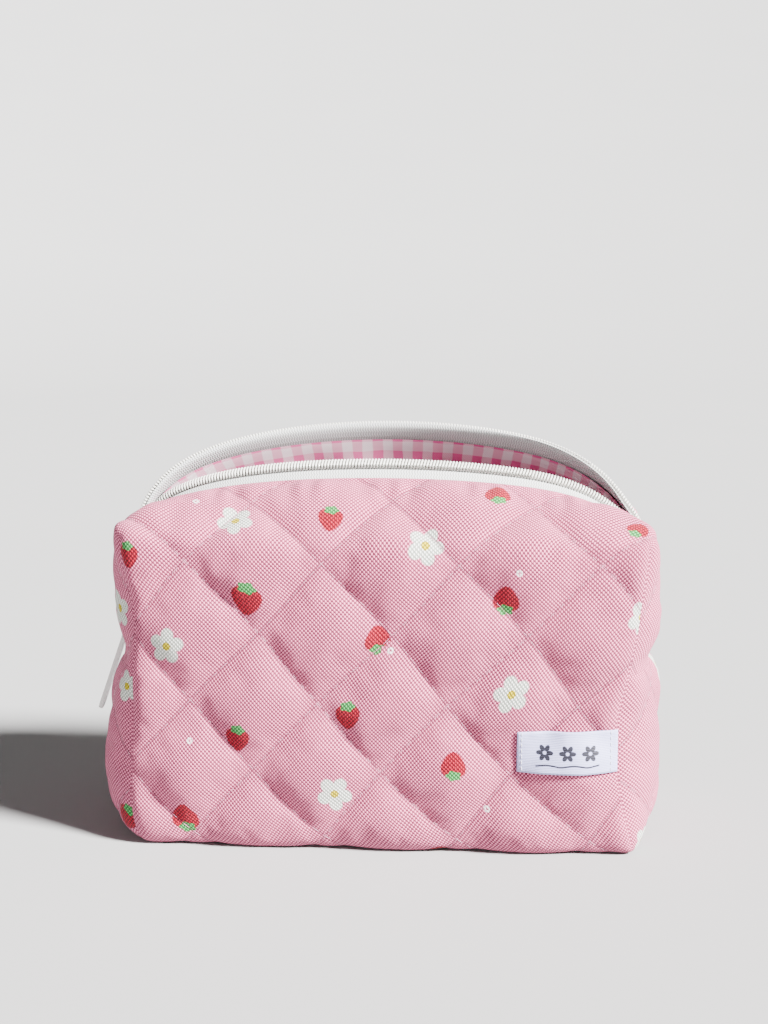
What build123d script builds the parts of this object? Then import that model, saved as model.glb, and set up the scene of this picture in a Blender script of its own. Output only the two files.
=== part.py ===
"""Quilted box makeup bag, open along its zip: printed canvas, wadding and lining in layers, a coil
zip that runs over the top and down both ends to a seam at half height, and a slider with a pull tab.

The origin is the middle of the flat base, +Z is up and the front face looks along -Y. Sizes are in mm.
The two halves of the top stand up and lean in. Each is a body that turns about the fold along the
top of the front or rear face."""

import os
from math import asin, cos, degrees, sin, sqrt

from build123d import *

# Driving dimensions
WIDTH = 230.0  # between the two end faces
DEPTH = 104.0  # between the front and rear faces
FOLD_Z = 131.0  # the top folds, which are the hinge lines of the two halves of the top
MID_SEAM_Z = 78.0  # the seam across each end, where the zip stops
CORNER_R = 12.0  # vertical corners and bottom edges

# Layers, each as (outer, inner) depth below the outer face
CANVAS = (0.0, 0.8)
WADDING = (0.9, 3.9)
TAPE = (4.0, 4.6)
LINING = (4.7, 5.2)
COIL = (1.55, 3.95)
HINGE_DEPTH = 2.4  # depth of the hinge line, the middle of the wadding

# Zip, as distances across the cloth from the zip's centre line
CLOTH_EDGE = 13.0
TAPE_EDGES = (2.0, 18.0)
COIL_EDGES = (1.0, 4.0)

# Mouth: how high each rim stands over the mid seam at the middle, and how square its arch is
RIM_RISE = {-1: 85.3, 1: 97.2}
RIM_POWER = 0.165
FLAP_HALF_X = 78.0  # the moving stretch of the top
FLAP_GAP = 0.6  # between the moving stretch and the fixed shoulders
SHOULDER_X = (96.0, 107.0)  # stations along each fixed shoulder
CORNER_X = 113.0  # where the top turns down into the end
CORNER_Z = 132.5
END_TOP_Z = 119.0  # the end is flat below this
SEAM_GAP = 0.5  # half the gap at the mid seam
REGION_GAP = 0.1

HALF_X = WIDTH / 2
HALF_Y = DEPTH / 2
HINGE_Y = HALF_Y - 2.0
HINGE_RADIUS = (WADDING[1] - WADDING[0]) / 2
WALL_TOP = FOLD_Z - 3.0
LINING_TOP = FOLD_Z - 7.0  # leaves room for the top's lining to swing down past level
SIDES = {"front": -1, "rear": 1}
ENDS = {"left": -1, "right": 1}

# Slider and pull tab, at the bottom of the zip's left end
SLIDER_Z = 85.5  # middle of the slider
SLIDER_LENGTH = 13.0
SLIDER_WIDTH = 10.8
PLATE = 1.3
SLIDER_CLEARANCE = 0.45
FLANGE = 1.0
POST_WIDTH = 1.2
POST_LENGTH = 5.0
CAP_WIDTH = 2.6
CAP_THICKNESS = 0.9
PIVOT_OUT = 2.5  # height of the pull tab's pivot over the slider's outer plate
PIVOT_RADIUS = 0.8
PIVOT_CLEARANCE = 0.35
TAB_LENGTH = 41.0
TAB_WIDTH = 7.4
TAB_NECK_WIDTH = 6.2
TAB_THICKNESS = 1.6
TAB_WINDOW = (3.6, 4.4)  # width and length of the hole that the cap passes through
TAB_TILT = 19.0  # degrees out from hanging straight down

# Side label, sewn on the front face
LABEL_SIZE = (42.0, 18.0)
LABEL_CENTRE = (78.5, 46.5)
LABEL_THICKNESS = 0.5


def envelope(inset):
    """The bag's outer shape, shrunk by inset, and open-ended upwards."""
    top = FOLD_Z + 20
    block = Box(
        WIDTH - 2 * inset,
        DEPTH - 2 * inset,
        top - inset,
        align=(Align.CENTER, Align.CENTER, Align.MIN),
    )
    block = Pos(0, 0, inset) * block
    radius = CORNER_R - inset
    block = fillet(block.edges().filter_by(Axis.Z), radius)
    return fillet(block.faces().sort_by(Axis.Z)[0].edges(), radius)


def region(low, high):
    """A box from its lowest corner to its highest corner."""
    size = [b - a for a, b in zip(low, high)]
    middle = [(a + b) / 2 for a, b in zip(low, high)]
    return Pos(*middle) * Box(*size)


def wall_layers(depths, top):
    """One layer of the bag's fixed walls, cut at its folds and seams, as a dict by place."""
    shell = envelope(depths[0]) - envelope(depths[1])
    flat_x = HALF_X - CORNER_R
    flat_y = HALF_Y - CORNER_R
    inner_y = flat_y - REGION_GAP
    inner_x = flat_x - REGION_GAP
    far = 300.0
    return {
        "front": shell & region((-far, -far, -far), (far, -flat_y, top)),
        "rear": shell & region((-far, flat_y, -far), (far, far, top)),
        "bottom": shell & region((-inner_x, -inner_y, -far), (inner_x, inner_y, CORNER_R)),
        "left": shell & region((-far, -inner_y, -far), (-flat_x, inner_y, MID_SEAM_Z - SEAM_GAP)),
        "right": shell & region((flat_x, -inner_y, -far), (far, inner_y, MID_SEAM_Z - SEAM_GAP)),
    }


def rim_height(x, side):
    """Height of the open rim at x, an arch that comes down to the mid seam at each end."""
    return MID_SEAM_Z + RIM_RISE[side] * (1 - (x / HALF_X) ** 2) ** RIM_POWER


def top_angle(x, side):
    """How far the top stands up from level at x, in radians."""
    reach = HINGE_Y - COIL_EDGES[0]
    return asin((rim_height(x, side) - FOLD_Z) / reach)


def top_station(x, side):
    """Origin on the zip's centre line, direction away from the zip, and outward normal, at x."""
    angle = top_angle(x, side)
    outward = Vector(0, side * cos(angle), -sin(angle))
    normal = Vector(0, side * sin(angle), cos(angle))
    hinge = Vector(x, side * HINGE_Y, FOLD_Z)
    return hinge - outward * HINGE_Y + normal * HINGE_DEPTH, outward, normal


def end_stations(end, side):
    """Stations that carry the top over the shoulder and down the end to the mid seam."""
    across = Vector(0, side, 0)
    slant = Vector(end / sqrt(2), 0, 1 / sqrt(2))
    level = Vector(end, 0, 0)
    return [
        (Vector(end * CORNER_X, 0, CORNER_Z), across, slant),
        (Vector(end * HALF_X, 0, END_TOP_Z), across, level),
        (Vector(end * HALF_X, 0, MID_SEAM_Z + SEAM_GAP), across, level),
    ]


def strip(stations, near, fars, depths):
    """A thick strip of cloth through stations, from near to far across the cloth."""
    sections = []
    for (origin, across, normal), far in zip(stations, fars):
        corners = [
            origin + across * q - normal * t
            for q, t in ((near, depths[0]), (far, depths[0]), (far, depths[1]), (near, depths[1]))
        ]
        sections.append(Wire.make_polygon(corners, close=True))
    return Solid.make_loft(sections, ruled=True)


def flap_stations(side):
    steps = 6
    xs = [-FLAP_HALF_X + 2 * FLAP_HALF_X * i / steps for i in range(steps + 1)]
    return [top_station(x, side) for x in xs]


def flap_strip(side, near, far, depths):
    stations = flap_stations(side)
    return strip(stations, near, [far] * len(stations), depths)


def flap_wadding(side):
    """The moving half of the top, with a round edge on the hinge line."""
    sheet = flap_strip(side, CLOTH_EDGE, HINGE_Y, WADDING)
    roll = Pos(0, side * HINGE_Y, FOLD_Z) * Rot(0, 90, 0) * Cylinder(HINGE_RADIUS, 2 * FLAP_HALF_X)
    return sheet + roll


def shoulder_strip(end, side, near, top_far, end_far, depths):
    """The fixed shoulder and upper end, one strip from the flap's edge to the mid seam."""
    xs = (FLAP_HALF_X + FLAP_GAP, *SHOULDER_X)
    stations = [top_station(end * x, side) for x in xs] + end_stations(end, side)
    fars = [top_far] * len(xs) + [end_far] * 3
    return strip(stations, near, fars, depths)


def end_layer(end, lower, top_far, depths):
    """One layer of an end: the lower half and the two upper halves beside the zip."""
    flat_y = HALF_Y - CORNER_R - REGION_GAP
    uppers = [shoulder_strip(end, s, CLOTH_EDGE, top_far, flat_y, depths) for s in SIDES.values()]
    return Compound(children=[*lower.solids(), *uppers])


def make_cloth():
    """Printed canvas, wadding and lining, each in its walls, ends and the two halves of the top."""
    parts = {}
    fold_edge = HINGE_Y - 2.0
    lining_edge = HINGE_Y - 6.0
    for layer, depths, far, top in (
        ("canvas", CANVAS, fold_edge, WALL_TOP),
        ("wadding", WADDING, fold_edge, WALL_TOP),
        ("lining", LINING, lining_edge, LINING_TOP),
    ):
        walls = wall_layers(depths, top)
        for place in ("front", "rear", "bottom"):
            parts[f"{layer}_{place}"] = walls[place]
        for place, end in ENDS.items():
            parts[f"{layer}_{place}_end"] = end_layer(end, walls[place], far, depths)
    for place, side in SIDES.items():
        parts[f"canvas_{place}_top"] = flap_strip(side, CLOTH_EDGE, HINGE_Y, CANVAS)
        parts[f"wadding_{place}_top"] = flap_wadding(side)
        parts[f"lining_{place}_top"] = flap_strip(side, CLOTH_EDGE, HINGE_Y - 4.0, LINING)
    return parts


def make_zip():
    """Each tape and coil: a moving stretch on the flap and a fixed stretch down each end."""
    parts = {}
    for place, side in SIDES.items():
        for piece, edges, depths in (("tape", TAPE_EDGES, TAPE), ("coil", COIL_EDGES, COIL)):
            parts[f"zip_{piece}_{place}_top"] = flap_strip(side, *edges, depths)
            for end_name, end in ENDS.items():
                name = f"zip_{piece}_{place}_{end_name}"
                parts[name] = shoulder_strip(end, side, edges[0], edges[1], edges[1], depths)
    return parts


def slider_planes():
    """The slider's outer and inner plates, as distances of their faces from the bag's middle."""
    outer_low = HALF_X - COIL[0] + SLIDER_CLEARANCE
    inner_high = HALF_X - TAPE[1] - SLIDER_CLEARANCE
    return outer_low, outer_low + PLATE, inner_high - PLATE, inner_high


def make_slider_body():
    """Two plates joined by a post, with a flange along each side of each plate."""
    outer_low, outer_high, inner_low, inner_high = slider_planes()
    low_z = SLIDER_Z - SLIDER_LENGTH / 2
    high_z = SLIDER_Z + SLIDER_LENGTH / 2
    half = SLIDER_WIDTH / 2
    outer = region((-outer_high, -half, low_z), (-outer_low, half, high_z))
    inner = region((-inner_high, -half, low_z), (-inner_low, half, high_z))
    plates = [fillet(plate.edges().filter_by(Axis.X), 2.5) for plate in (outer, inner)]
    post = region(
        (-outer_low - 0.2, -POST_WIDTH / 2, high_z - POST_LENGTH),
        (-inner_high + 0.2, POST_WIDTH / 2, high_z - 1.0),
    )
    body = plates[0] + plates[1] + post
    tape_out = HALF_X - TAPE[0] + SLIDER_CLEARANCE
    for side in SIDES.values():
        ys = sorted((side * (half - FLANGE), side * half))
        body += region((-outer_low - 0.2, ys[0], low_z + 2.5), (-tape_out, ys[1], high_z - 2.5))
    return body


def pivot_x():
    return -(slider_planes()[1] + PIVOT_OUT)


def make_slider_cap():
    """The arch on the slider that holds the pull tab's cross bar."""
    inner = PIVOT_RADIUS + PIVOT_CLEARANCE
    outer = inner + CAP_THICKNESS
    plate_x = -slider_planes()[1]
    x = pivot_x()
    arch = Pos(x, 0, SLIDER_Z) * Rot(90, 0, 0) * Cylinder(outer, CAP_WIDTH)
    legs = region(
        (x, -CAP_WIDTH / 2, SLIDER_Z - outer),
        (plate_x, CAP_WIDTH / 2, SLIDER_Z + outer),
    )
    hole = Pos(x, 0, SLIDER_Z) * Rot(90, 0, 0) * Cylinder(inner, CAP_WIDTH + 2)
    slot = region((x, -CAP_WIDTH, SLIDER_Z - inner), (plate_x + 1, CAP_WIDTH, SLIDER_Z + inner))
    return arch + legs - hole - slot


def make_pull_tab():
    """A long tapered tab with a window at its top and a round cross bar above the window."""
    window_width, window_length = TAB_WINDOW
    bar = Rot(90, 0, 0) * Cylinder(PIVOT_RADIUS, TAB_NECK_WIDTH)
    outline = make_face(
        Polyline(
            (-TAB_NECK_WIDTH / 2, 0),
            (TAB_NECK_WIDTH / 2, 0),
            (TAB_WIDTH / 2, -TAB_LENGTH),
            (-TAB_WIDTH / 2, -TAB_LENGTH),
            close=True,
        )
    )
    outline = fillet(outline.vertices().sort_by(Axis.Y)[:2], 2.6)
    window = Pos(0, -window_length / 2) * Rectangle(window_width, window_length)
    blank = extrude(Plane.YZ * (outline - window), amount=TAB_THICKNESS / 2, both=True)
    return Pos(pivot_x(), 0, SLIDER_Z) * Rot(0, TAB_TILT, 0) * (blank + bar)


def make_label():
    """A woven label, folded under at both ends and sewn flat on the front face."""
    x, z = LABEL_CENTRE
    width, height = LABEL_SIZE
    return region(
        (x - width / 2, -HALF_Y - LABEL_THICKNESS, z - height / 2),
        (x + width / 2, -HALF_Y, z + height / 2),
    )


def main():
    parts = {
        **make_cloth(),
        **make_zip(),
        "zip_slider_body": make_slider_body(),
        "zip_slider_cap": make_slider_cap(),
        "zip_pull_tab": make_pull_tab(),
        "side_label": make_label(),
    }
    os.makedirs("parts", exist_ok=True)
    for name, shape in parts.items():
        export_step(shape, f"parts/{name}.step")
    for place, side in SIDES.items():
        print(place, "top stands at", round(degrees(top_angle(0, side)), 2), "degrees")
    print("pull tab pivot x", round(pivot_x(), 3), "z", SLIDER_Z)


main()
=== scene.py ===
"""Quilted makeup bag, open: printed canvas over wadding, a gingham lining and a coil zip.

The cloth is one flat grid of stitched cells, folded up into the bag. Sizes here are in millimetres
until a mesh is made, which is in metres."""

import math

import bpy
import numpy as np
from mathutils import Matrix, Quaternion, Vector


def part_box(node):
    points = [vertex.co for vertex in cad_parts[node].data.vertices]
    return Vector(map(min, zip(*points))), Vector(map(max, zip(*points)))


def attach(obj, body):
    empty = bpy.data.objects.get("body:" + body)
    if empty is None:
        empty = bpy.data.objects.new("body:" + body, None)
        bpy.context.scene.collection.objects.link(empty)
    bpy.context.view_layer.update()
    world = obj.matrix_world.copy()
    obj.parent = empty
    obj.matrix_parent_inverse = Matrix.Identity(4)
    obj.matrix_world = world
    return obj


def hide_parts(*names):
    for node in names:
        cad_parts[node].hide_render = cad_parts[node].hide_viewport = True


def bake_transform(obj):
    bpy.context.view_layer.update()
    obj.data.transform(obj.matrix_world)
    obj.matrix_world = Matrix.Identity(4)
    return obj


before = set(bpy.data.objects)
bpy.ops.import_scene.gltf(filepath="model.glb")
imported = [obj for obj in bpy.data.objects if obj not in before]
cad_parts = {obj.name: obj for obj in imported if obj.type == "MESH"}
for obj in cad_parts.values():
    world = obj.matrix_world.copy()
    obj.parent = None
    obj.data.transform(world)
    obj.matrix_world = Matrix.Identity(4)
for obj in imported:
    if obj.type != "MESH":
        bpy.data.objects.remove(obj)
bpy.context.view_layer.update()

rng = np.random.default_rng(7)

# Cloth, as laid out flat: u runs along the bag and v up the front face from the base
STEP = 2.082  # the grid's step, a whole number of which fits between the quilting lines
QUILT_CELLS = 28  # from one quilting line to the next, along u or v
QUILT = QUILT_CELLS * STEP
U0, V0 = 4.0, 91.0  # where two quilting lines cross
COL_L, COL_R = -55, 51  # the vertical seams, in columns from U0
ROW_BASE, ROW_MID, ROW_FOLD, ROW_EDGE = -45, -8, 18, 35  # on the front face and its half of the top
UP_CELLS = ROW_FOLD - ROW_MID  # from the mid seam up to the top fold
LOW_CELLS = ROW_MID - ROW_BASE
BASE_CELLS = 50  # from front to rear
TOP_CELLS = ROW_EDGE - ROW_FOLD
HEM_ROWS = 3
REAR_FLIP = 2 * ROW_BASE - BASE_CELLS  # a front row and its rear twin add up to this

# The bag's frame, as in the CAD
HALF_X, HALF_Y, HINGE_Y = 115.0, 52.0, 50.0
FOLD_Z, MID_Z = 131.0, 78.0  # the top fold and the seam across the middle of each end
RIM_RISE = {-1: 85.3, 1: 97.2}  # of the open zip's middle over the mid seam: the front half, the rear half
RIM_SQUARENESS = 0.165  # the lower, the tighter the rim's turn at the ends
ZIP_LIFT = 2.4  # of the zip's line over a line from the fold to the rim
ZIP_TURN_Z = 116.0  # where the zip has turned to run straight down an end
ZIP_GAP = 0.2  # of each half from the middle of an end
COIL_Q = 2.9  # the coil's middle, from the zip's line
COIL_DEPTH, LINING_DEPTH = 2.75, 5.0  # below the folded cloth's surface
CLOTH_EDGE, LINING_EDGE = 12.4, 8.2  # from the zip's line
WORD = {-1: "front", 1: "rear"}  # by side
TOP_Z = FOLD_Z + 2.2  # of the cloth at the top fold

PUFF = 4.3  # how far the middle of each stitched diamond stands out


def smoothstep(t):
    """Rises smoothly from 0 to 1 as t does."""
    t = np.clip(t, 0, 1)
    return t * t * (3 - 2 * t)


def curve_through(points, at):
    """A smooth curve through (t, value) points, read at some places."""
    t = np.array([p[0] for p in points], float)
    y = np.array([p[1] for p in points], float)
    slope = np.gradient(y, t)
    at = np.clip(at, t[0], t[-1])
    i = np.clip(np.searchsorted(t, at, side="right") - 1, 0, len(t) - 2)
    h = t[i + 1] - t[i]
    s = (at - t[i]) / h
    return (
        (2 * s**3 - 3 * s**2 + 1) * y[i]
        + (s**3 - 2 * s**2 + s) * h * slope[i]
        + (3 * s**2 - 2 * s**3) * y[i + 1]
        + (s**3 - s**2) * h * slope[i + 1]
    )


# How far the vertical seams stand from the middle, by height, on the left and on the right
SEAM_X = {
    -1: [
        (0, 104), (10, 106.5), (40, 106), (62, 105.5), (78, 106),
        (90, 105), (104, 105.5), (118, 108), (133, 108.5),
    ],
    1: [(0, 109), (10, 105.5), (40, 99), (62, 99.5), (78, 104), (107, 109), (133, 108.5)],
}
# How far the middle of each half of an end stands out, by height
LOWER_END_X = {
    -1: [(0, 113), (8, 121), (22, 123.5), (40, 123.5), (58, 122.5), (70, 120), (78, 117)],
    1: [(0, 111), (8, 117), (22, 119), (40, 119), (58, 119), (70, 118), (78, 116)],
}


def seam_x(side, z):
    """Where the vertical seam of the left end (side -1) or the right end stands at height z."""
    return side * curve_through(SEAM_X[side], z)


def by_end(tables, end, z):
    """Distance from the middle at height z, by the left end's table where end is -1."""
    return np.where(end < 0, curve_through(tables[-1], z), curve_through(tables[1], z))


def spaced(line):
    """Length along a line of points, from 0 at the first."""
    return np.concatenate([[0], np.cumsum(np.linalg.norm(np.diff(line, axis=0), axis=1))])


def rim_line(side):
    """The zip's centre line for one half, from the mid seam at the left end to that at the right."""
    x = np.linspace(0, HALF_X - 10, 300)
    z = MID_Z + RIM_RISE[side] * (1 - (x / HALF_X) ** 2) ** RIM_SQUARENESS
    angle = np.arcsin((z - FOLD_Z) / (HINGE_Y - 1))
    y = HINGE_Y - HINGE_Y * np.cos(angle) + ZIP_LIFT * np.sin(angle)
    z = FOLD_Z + HINGE_Y * np.sin(angle) + ZIP_LIFT * np.cos(angle)
    top = np.stack([x, side * y, z], 1)
    start, end = top[-1], np.array([HALF_X, side * ZIP_GAP, ZIP_TURN_Z])
    along = (top[-1] - top[-3]) / np.linalg.norm(top[-1] - top[-3])
    reach = np.linalg.norm(end - start)
    t = np.linspace(0, 1, 120)[1:, None]
    a, b = start + along * 0.42 * reach, end + np.array([0.6, 0, 0.42 * reach])
    bend = (1 - t) ** 3 * start + 3 * (1 - t) ** 2 * t * a + 3 * (1 - t) * t**2 * b + t**3 * end
    down_z = np.linspace(ZIP_TURN_Z - 0.4, MID_Z, 60)
    down = np.stack([np.full(60, HALF_X), np.full(60, side * ZIP_GAP), down_z], 1)
    half = np.concatenate([top, bend, down])
    length = spaced(half)
    at = np.linspace(0, length[-1], 900)
    half = np.stack([np.interp(at, length, half[:, k]) for k in range(3)], 1)
    mirror = half[:0:-1] * (-1, 1, 1)
    return np.concatenate([mirror, half])


def pulled_in(line):
    """The mouth's right end is pulled in a little, as in the photo."""
    x, _, z = line.T
    pull = 4.5 * smoothstep((x - 60) / 45) * smoothstep((z - 128) / 20)
    return line - np.stack([pull, 0 * x, 0 * x], 1)


RIMS = {side: pulled_in(rim_line(side)) for side in (-1, 1)}
RIM_HALF = 185.0  # about half a rim's length


def rim_at(side, s):
    """A point of the rim line at s, from -1 at the left mid seam to 1 at the right, and on below it."""
    line = RIMS[side]
    at = (np.asarray(s) + 1) / 2 * (len(line) - 1)
    out = np.stack([np.interp(at, np.arange(len(line)), line[:, k]) for k in range(3)], -1)
    out[..., 2] -= np.maximum(np.abs(s) - 1, 0) * RIM_HALF
    return out


END_SHARE = UP_CELLS / (UP_CELLS + (COL_R - COL_L) / 2)  # of half a rim that runs down an end


def far_edge(side, s):
    """The top fold, and past its ends the vertical seams, at s from -1 to 1."""
    s = np.asarray(s, float)
    end = np.sign(s)
    down = np.clip((np.abs(s) - (1 - END_SHARE)) / END_SHARE, 0, 1.2)
    z = TOP_Z + (MID_Z - TOP_Z) * down
    across = np.clip(np.abs(s) / (1 - END_SHARE), 0, 1)
    seam = by_end(SEAM_X, end, z)
    x = end * np.where(down > 0, seam, seam * across)
    swell = 1.5 * (1 - across**2)
    return np.stack([x, side * (HALF_Y - 0.5 + swell - 1.5 * smoothstep(down * 3)), z], -1)


def top_point(side, s, q, depth):
    """A point of one half of the top or of an upper end, q across from the zip, sunk by depth."""
    s, q, depth = (np.asarray(a, float) for a in (s, q, depth))
    near, far = rim_at(side, s), far_edge(side, s)
    across = far - near
    width = np.linalg.norm(across, axis=-1, keepdims=True)
    normal = np.cross(rim_at(side, s + 0.004) - rim_at(side, s - 0.004), across) * side
    normal /= np.linalg.norm(normal, axis=-1, keepdims=True)
    t = (q / HINGE_Y)[..., None]
    ends = smoothstep((np.abs(s) - (1 - END_SHARE) + 0.10) / 0.2)[..., None]
    at_mid = smoothstep((1 - np.abs(s)) / 0.12)[..., None]
    hump = np.clip((t - 0.16) / 0.84, 0, 1)
    tall = 3.5 if side < 0 else 2.5
    swell = (2.0 + tall * ends * (0.35 + 0.65 * at_mid)) * np.sin(np.pi * hump**0.8) ** 0.9
    slack = np.minimum(width / HINGE_Y, 1.15)
    return near + across / width * HINGE_Y * t * slack + normal * (swell - depth[..., None])


def folded(flat, cloth_edge=CLOTH_EDGE):
    """Where points of the flat cloth go when the bag is folded up, before it is padded."""
    is_rear = flat[:, 0] <= ROW_BASE - BASE_CELLS  # the rear face and its half of the top, counted down
    row = np.where(is_rear, REAR_FLIP - flat[:, 0], flat[:, 0]).astype(float)
    col, side = flat[:, 1].astype(float), np.where(is_rear, 1, -1)
    middle = (COL_L <= col) & (col <= COL_R)
    out = np.zeros((len(flat), 3))

    is_top = (row > ROW_FOLD) | ((row == ROW_FOLD) & ~middle)
    s = (col - (COL_L + COL_R) / 2) / ((COL_R - COL_L) / 2 + UP_CELLS)
    hem = np.clip(row - ROW_EDGE, 0, HEM_ROWS).astype(int)
    q = HINGE_Y - (np.minimum(row, ROW_EDGE) - ROW_FOLD) * (HINGE_Y - cloth_edge) / TOP_CELLS
    depth = np.where(hem > 0, np.array((0, 2.9, 3.5, 4.1))[hem], 2.5 * np.exp(-(q - cloth_edge) / 4.5))
    q -= np.array((0, 0.35, 0.4, -0.3))[hem]
    for way in (-1, 1):
        pick = is_top & (side == way)
        out[pick] = top_point(way, s[pick], q[pick], depth[pick])

    t = (col - COL_L) / (COL_R - COL_L)
    z = np.where(
        row <= ROW_MID, (row - ROW_BASE) / LOW_CELLS * MID_Z,
        MID_Z + (row - ROW_MID) / UP_CELLS * (TOP_Z - MID_Z),
    )
    left, right = seam_x(-1, z), seam_x(1, z)
    swell = 1.5 + 3.0 * np.sin(np.pi * np.clip(z / 150, 0, 1)) ** 0.7
    y = HALF_Y - 0.5 + swell * (1 - (2 * t - 1) ** 2) - 2.5 * (1 - np.minimum(1, z / 14)) ** 2
    face = ~is_top & (row >= ROW_BASE)
    out[face] = np.stack([left + (right - left) * t, side * y, z], 1)[face]

    y = -1 + 2 * (ROW_BASE - row) / BASE_CELLS
    left, right = seam_x(-1, 0.0), seam_x(1, 0.0)
    base = (row < ROW_BASE) & middle
    out[base] = np.stack([left + (right - left) * t, y * (HALF_Y - 3.0), 0 * y], 1)[base]

    end = np.where(col < COL_L, -1, 1)
    z = np.where(col < COL_L, COL_L - col, col - COL_R) / LOW_CELLS * MID_Z
    seam = by_end(SEAM_X, end, z)
    bow = np.maximum(0.0, 1 - np.abs(y) ** 2.6) ** 0.8
    wide = HALF_Y - 0.5 - 2.5 * (1 - np.minimum(1, z / 14)) ** 2
    lower = (row < ROW_BASE) & ~middle
    mid = by_end(LOWER_END_X, end, z)
    dent = 2.6 * np.exp(-((y * wide / 9) ** 2)) * smoothstep((z - 30) / 16) * smoothstep((MID_Z - z) / 8)
    x = end * (seam + (mid - seam) * bow) + np.where(end < 0, dent, 0)  # behind the hanging pull tab
    out[lower] = np.stack([x, y * wide, z], 1)[lower]
    return out


def weld(row, col):
    """The cloth point that this one is sewn to, where it has one."""
    for seam, sign in ((COL_L, -1), (COL_R, 1)):
        out = (col - seam) * sign
        if out > 0 and row == ROW_FOLD:
            return weld(ROW_FOLD - out, seam)
        if out > 0 and row == REAR_FLIP - ROW_FOLD:
            return weld(REAR_FLIP - ROW_FOLD + out, seam)
        if out > 0 and row == ROW_BASE:
            return ROW_BASE + out, seam
        if out > 0 and row == ROW_BASE - BASE_CELLS:
            return ROW_BASE - BASE_CELLS - out, seam
        if out == UP_CELLS and ROW_FOLD < row <= ROW_EDGE:
            return weld(ROW_BASE - (row - ROW_FOLD), seam + sign * LOW_CELLS)
        if out == UP_CELLS and REAR_FLIP - ROW_EDGE <= row < REAR_FLIP - ROW_FOLD:
            return weld(ROW_BASE - BASE_CELLS + (REAR_FLIP - ROW_FOLD - row), seam + sign * LOW_CELLS)
    return row, col


def cloth_cells():
    """Every cell of the flat cloth, as its lower-left (row, col)."""
    top = ROW_EDGE + HEM_ROWS
    cells = []
    for row in range(REAR_FLIP - top, top):
        if row >= ROW_FOLD or row < REAR_FLIP - ROW_FOLD:
            reach = UP_CELLS
        elif ROW_BASE - BASE_CELLS <= row < ROW_BASE:
            reach = LOW_CELLS
        else:
            reach = 0
        cells += [(row, col) for col in range(COL_L - reach, COL_R + reach)]
    return cells


def quilt_distance(row, col):
    """Distance along the cloth to the nearest rising and falling quilting line, in mm."""
    out = []
    for k in (row + col, row - col):
        m = k % QUILT_CELLS
        out.append(np.minimum(m, QUILT_CELLS - m) * STEP / math.sqrt(2))
    return out


def number_points(cells):
    """A number for each (row, col), shared by those sewn together, and the numbered ones in order."""
    index, flat = {}, []
    for row, col in cells:
        for corner in ((row, col), (row, col + 1), (row + 1, col + 1), (row + 1, col)):
            if corner not in index:
                home = weld(*corner)
                if home not in index:
                    index[home] = len(flat)
                    flat.append(home)
                index[corner] = index[home]
    return index, np.array(flat)


CELLS = cloth_cells()
INDEX, FLAT = number_points(CELLS)
POINTS = folded(FLAT)
FACES = np.array([[INDEX[r, c], INDEX[r, c + 1], INDEX[r + 1, c + 1], INDEX[r + 1, c]] for r, c in CELLS])
EDGES = np.unique(np.sort(np.concatenate([FACES[:, [i, (i + 1) % 4]] for i in range(4)]), axis=1), axis=0)
CELLS = np.array(CELLS)
DEGREE = np.bincount(EDGES.ravel(), minlength=len(POINTS)).astype(float)


def face_normals(points):
    """Each quad's normal, as long as twice its area."""
    a, b, c, d = (points[FACES[:, i]] for i in range(4))
    return np.cross(c - a, d - b)


def normals(points, only=slice(None)):
    """Unit normals at the cloth's points, from all of the quads or from some."""
    faces = face_normals(points)[only]
    out = np.zeros_like(points)
    for i in range(4):
        for k in range(3):
            out[:, k] += np.bincount(FACES[only, i], faces[:, k], len(points))
    return out / np.maximum(np.linalg.norm(out, axis=1, keepdims=True), 1e-9)


def relax(points, free, rounds):
    """Rounds the cloth's edges: each free point moves half way to the middle of its neighbours."""
    points = points.copy()
    free = np.asarray(free, float)[:, None] * 0.5
    for _ in range(rounds):
        total = sum(
            np.stack([np.bincount(a, points[b, k], len(points)) for k in range(3)], 1)
            for a, b in (EDGES.T, EDGES.T[::-1])
        )
        points += (total / DEGREE[:, None] - points) * free
    return points


ROW, COL = FLAT[:, 0], FLAT[:, 1]
FRONT_ROW = np.where(ROW <= ROW_BASE - BASE_CELLS // 2, REAR_FLIP - ROW, ROW)
OUT = np.maximum(COL_L - COL, COL - COL_R)  # cells past a vertical seam
IN_HEM = FRONT_ROW >= ROW_EDGE
# The middle of each mid seam, below the zip, is tucked in and held
TUCKED = (OUT == LOW_CELLS) & (ROW < ROW_BASE - TOP_CELLS) & (ROW > ROW_BASE - BASE_CELLS + TOP_CELLS)
POINTS[TUCKED, 0] -= np.sign(POINTS[TUCKED, 0]) * 3.5
HELD = IN_HEM | TUCKED


def seam_distance():
    """Distance along the cloth to the nearest seam of the ends, in mm."""
    far = np.full(len(POINTS), 1e3)
    for seam in (COL_L, COL_R):
        wall = np.abs(COL - seam)
        far = np.minimum(far, np.where(FRONT_ROW <= ROW_FOLD, wall, np.hypot(wall, FRONT_ROW - ROW_FOLD)))
    upper = (OUT > 0) & (FRONT_ROW > ROW_FOLD)
    far = np.where(upper, np.minimum(FRONT_ROW - ROW_FOLD, UP_CELLS - OUT), far)
    lower = (OUT > 0) & (FRONT_ROW < ROW_BASE)
    far = np.where(lower, np.minimum(ROW_BASE - FRONT_ROW, LOW_CELLS - OUT), far)
    return far * STEP


def edge_distance():
    """Distance along the cloth to the edge that is sewn to the zip tape, in mm."""
    return np.maximum(ROW_EDGE - FRONT_ROW, 0) * STEP


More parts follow.
